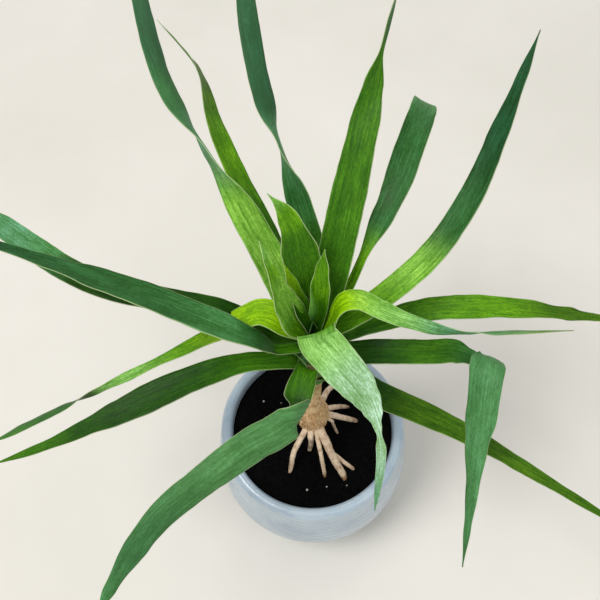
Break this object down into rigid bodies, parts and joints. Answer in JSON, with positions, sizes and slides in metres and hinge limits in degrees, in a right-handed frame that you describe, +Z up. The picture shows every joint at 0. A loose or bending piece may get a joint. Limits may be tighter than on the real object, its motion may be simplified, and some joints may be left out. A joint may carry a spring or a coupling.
{
  "type": "potted dragon tree",
  "caption": "Young dragon tree with a crown of long arching strap leaves on a short bare stem with stilt roots, in a round glazed pot of dark soil.",
  "frame": {"origin": "centre of the pot's base, on the surface it stands on and on the pot's axis", "axes": "+Z up along the pot's axis, -Y towards the side with the drooping pale leaf and the bare stem in view, +X along the longest spread of the leaves"},
  "size_m": [0.5558, 0.477, 0.4885],
  "materials": {
    "pot_glaze": "pale blue-grey glaze with brushed streaks",
    "soil": "near-black crumbly potting soil with a few white specks",
    "stem_bark": "matt fibrous tan bark",
    "root_skin": "matt pale tan root skin",
    "leaf": "semi-matt mid green to blue-green with fine long veins",
    "young_leaf": "semi-matt bright green with pale margins"
  },
  "bodies": {
    "root": {"pot": "pot_glaze", "soil": "soil", "stem": "stem_bark", "root_back": "root_skin", "root_back_right": "root_skin", "root_right": "root_skin", "root_right_short": "root_skin", "root_main": "root_skin", "root_front": "root_skin", "root_front_short": "root_skin", "root_left": "root_skin", "leaf_back_left_long": "leaf", "leaf_back_left_hidden": "leaf", "leaf_back_twisted": "leaf", "leaf_back_broad": "leaf", "leaf_back_arched": "leaf", "leaf_right_sickle": "leaf", "leaf_right_wavy": "leaf", "leaf_right_pale": "leaf", "leaf_right_bent": "leaf", "leaf_front_right_low": "leaf", "leaf_front_pale": "leaf", "leaf_front_bent": "leaf", "leaf_left_low": "leaf", "leaf_left_yellow": "leaf", "leaf_left_broad": "leaf", "leaf_left_back": "leaf", "leaf_spear": "young_leaf", "leaf_young_right": "young_leaf", "leaf_young_sliver": "young_leaf", "leaf_young_large": "young_leaf", "leaf_young_front": "young_leaf"}
  },
  "joints": []
}
